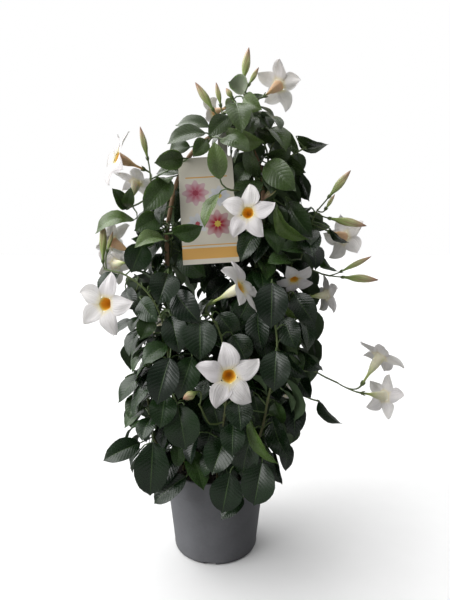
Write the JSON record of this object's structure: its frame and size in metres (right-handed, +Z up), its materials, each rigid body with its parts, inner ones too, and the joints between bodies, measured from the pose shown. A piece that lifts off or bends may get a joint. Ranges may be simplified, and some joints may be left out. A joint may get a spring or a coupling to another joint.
{
  "type": "mandevilla in a pot",
  "caption": "Climbing mandevilla with white trumpet blooms and glossy oval leaves, twined over a bamboo hoop in a round nursery pot, with a label card hung from the hoop.",
  "frame": {"origin": "centre of the pot's underside on the surface it stands on", "axes": "+Z up along the pot's axis; the plant's face, with the label card, looks along -Y; +X to the right as the face is seen"},
  "size_m": [0.5403, 0.352, 0.8606],
  "materials": {
    "pot_plastic": "matte grey moulded plastic",
    "potting_soil": "dark crumbly peat mix",
    "bamboo": "dry tan cane with nodes",
    "card_board": "smooth printed card",
    "leaf_green": "glossy dark green leaf over pale underside, with green stems",
    "petal_white": "soft white petals with a yellow throat"
  },
  "bodies": {
    "root": {"bloom_back_high": "petal_white", "bloom_back_left": "petal_white", "bloom_back_right": "petal_white", "bloom_below_card": "petal_white", "bloom_by_card": "petal_white", "bloom_far_right_high": "petal_white", "bloom_far_right_low": "petal_white", "bloom_front": "petal_white", "bloom_inner_right": "petal_white", "bloom_left": "petal_white", "bloom_mid_left": "petal_white", "bloom_mid_left_back": "petal_white", "bloom_mid_right": "petal_white", "bloom_right_side": "petal_white", "bloom_top": "petal_white", "bloom_top_back": "petal_white", "bloom_upper_left": "petal_white", "bloom_upper_left_back": "petal_white", "card": "card_board", "hoop": "bamboo", "pot": "pot_plastic", "shoot_back": "leaf_green", "shoot_back_left": "leaf_green", "shoot_back_right": "leaf_green", "shoot_cane_left": "leaf_green", "shoot_cane_right": "leaf_green", "shoot_front": "leaf_green", "shoot_front_right": "leaf_green", "shoot_left": "leaf_green", "shoot_left_low": "leaf_green", "shoot_low_front": "leaf_green", "shoot_over_top": "leaf_green", "shoot_right": "leaf_green", "shoot_right_low": "leaf_green", "shoot_right_top": "leaf_green", "soil": "potting_soil"}
  },
  "joints": []
}
